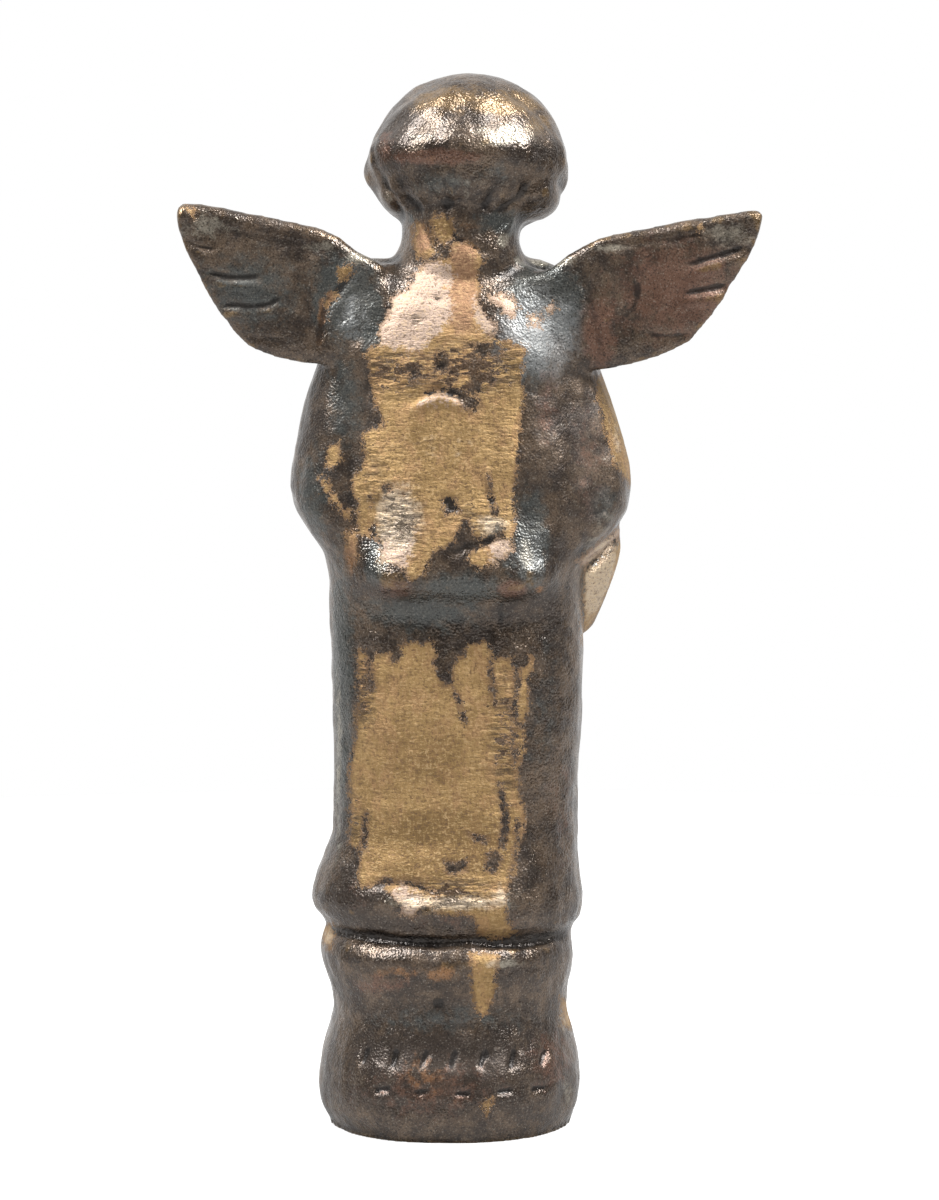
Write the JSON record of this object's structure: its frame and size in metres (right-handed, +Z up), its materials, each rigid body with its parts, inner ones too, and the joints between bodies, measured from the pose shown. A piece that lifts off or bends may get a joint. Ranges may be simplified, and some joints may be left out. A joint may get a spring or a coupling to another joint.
{
  "type": "angel statuette",
  "caption": "Small cast bronze angel in a straight gown, with short wings and joined hands, standing on its own waisted round plinth.",
  "frame": {"origin": "middle of the plinth's flat underside", "axes": "+Z up the figure, -Y the way the face looks, +X the angel's own left"},
  "size_m": [0.1015, 0.0501, 0.186],
  "materials": {
    "bronze": "dark brown patina, worn to bare brass-coloured metal down the back"
  },
  "bodies": {
    "root": {"angel_statuette": "bronze"}
  },
  "joints": []
}
